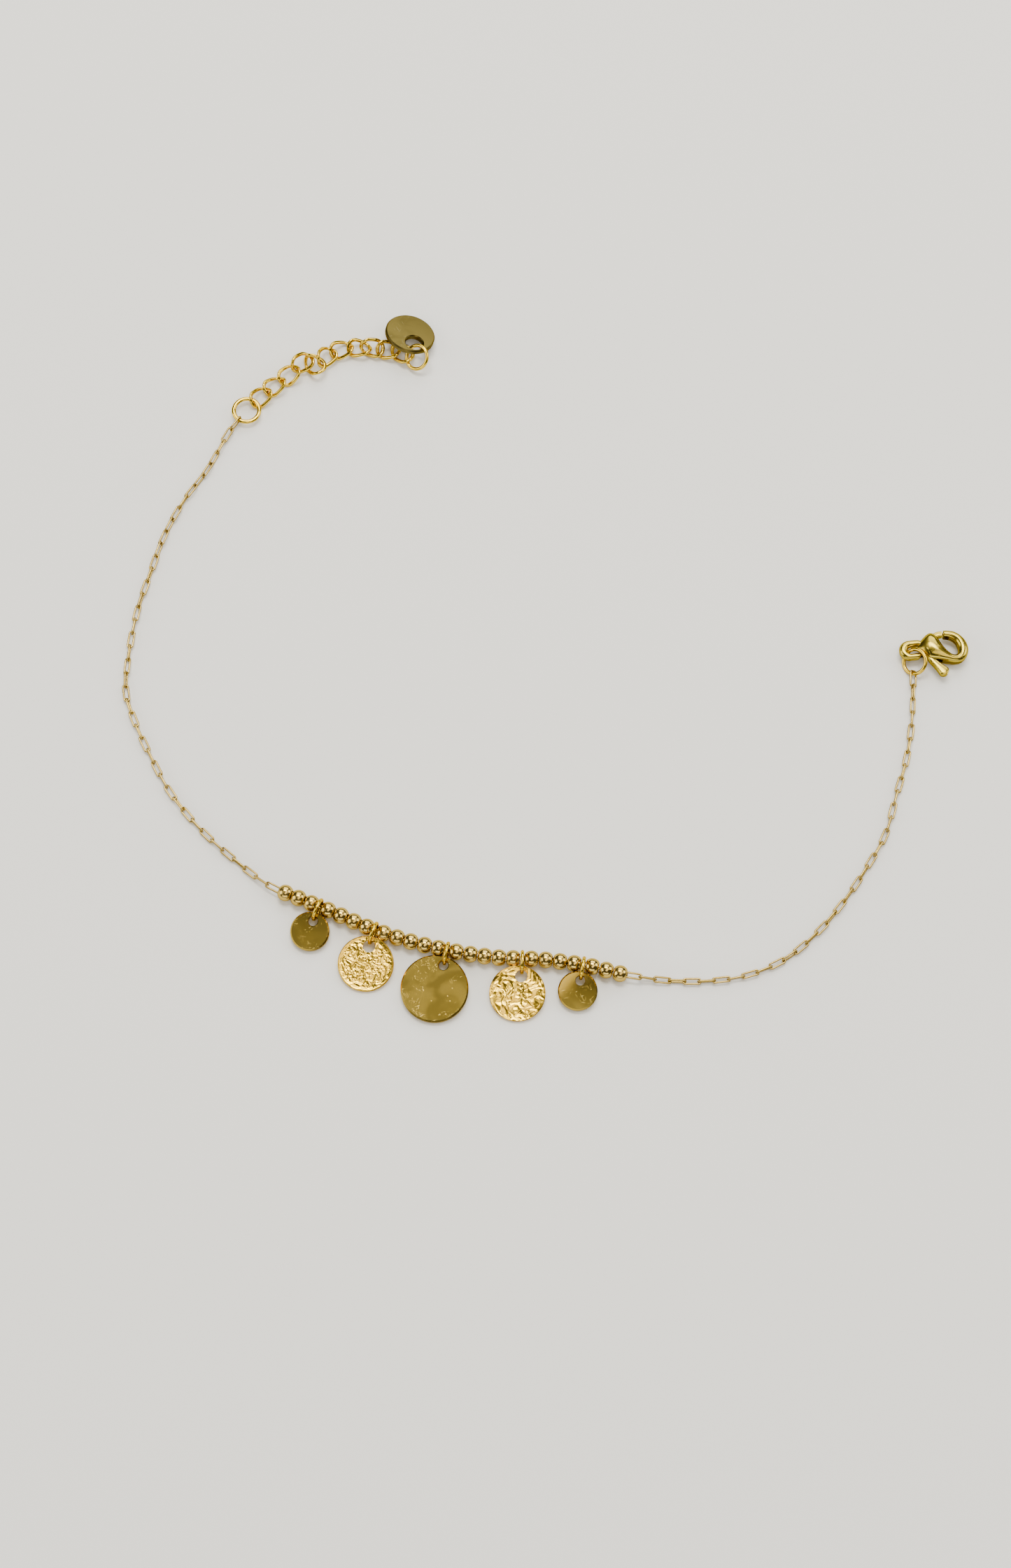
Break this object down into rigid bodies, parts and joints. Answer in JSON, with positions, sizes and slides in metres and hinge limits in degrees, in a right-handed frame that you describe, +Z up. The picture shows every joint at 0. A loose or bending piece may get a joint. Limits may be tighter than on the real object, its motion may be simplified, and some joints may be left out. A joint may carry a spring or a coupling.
{
  "type": "charm bracelet",
  "caption": "Fine gold link bracelet with groups of round beads, disc charms on jump rings, a sprung lobster clasp and an extender chain that ends in a round tag.",
  "frame": {"origin": "under the middle of the lying bracelet, on the table", "axes": "+X to the clasp's side, +Y from the charms to the bracelet's open ends, +Z up from the table"},
  "size_m": [0.1263, 0.1141, 0.0036],
  "materials": {
    "fine_chain": "polished pale gold colour",
    "beads": "mirror polished gold colour",
    "links": "polished bright yellow gold colour",
    "satin_discs": "satin olive gold with fine scratches",
    "hammered_discs": "beaten and polished gold colour",
    "clasp": "polished cast gold colour"
  },
  "bodies": {
    "bracelet": {"chain_left": "fine_chain", "chain_right": "fine_chain", "bead_01": "beads", "bead_02": "beads", "bead_03": "beads", "bead_04": "beads", "bead_05": "beads", "bead_06": "beads", "bead_07": "beads", "bead_08": "beads", "bead_09": "beads", "bead_10": "beads", "bead_11": "beads", "bead_12": "beads", "bead_13": "beads", "bead_14": "beads", "bead_15": "beads", "bead_16": "beads", "bead_17": "beads", "bead_18": "beads", "bead_19": "beads", "bead_20": "beads", "bead_21": "beads", "bead_22": "beads", "bead_23": "beads", "bead_24": "beads", "charm_ring_1": "links", "charm_ring_2": "links", "charm_ring_3": "links", "charm_ring_4": "links", "charm_ring_5": "links", "disc_small_left": "satin_discs", "disc_hammered_left": "hammered_discs", "disc_large": "satin_discs", "disc_hammered_right": "hammered_discs", "disc_small_right": "satin_discs", "extender_ring": "links", "extender_link_01": "links", "extender_link_02": "links", "extender_link_03": "links", "extender_link_04": "links", "extender_link_05": "links", "extender_link_06": "links", "extender_link_07": "links", "extender_link_08": "links", "extender_link_09": "links", "extender_link_10": "links", "extender_link_11": "links", "tag_ring": "links", "tag": "satin_discs", "clasp_ring": "links", "clasp_body": "clasp"},
    "lever": {"clasp_lever": "clasp"}
  },
  "joints": [
    {"name": "lever_hinge", "type": "hinge", "parent": "bracelet", "child": "lever", "pos_m": [0.05756, 0.00097, 0.00137], "axis": [0, 0, -1], "range_deg": [0, 22], "stiffness_Nm_per_rad": 0.00005, "springref_deg": -11.46}
  ]
}
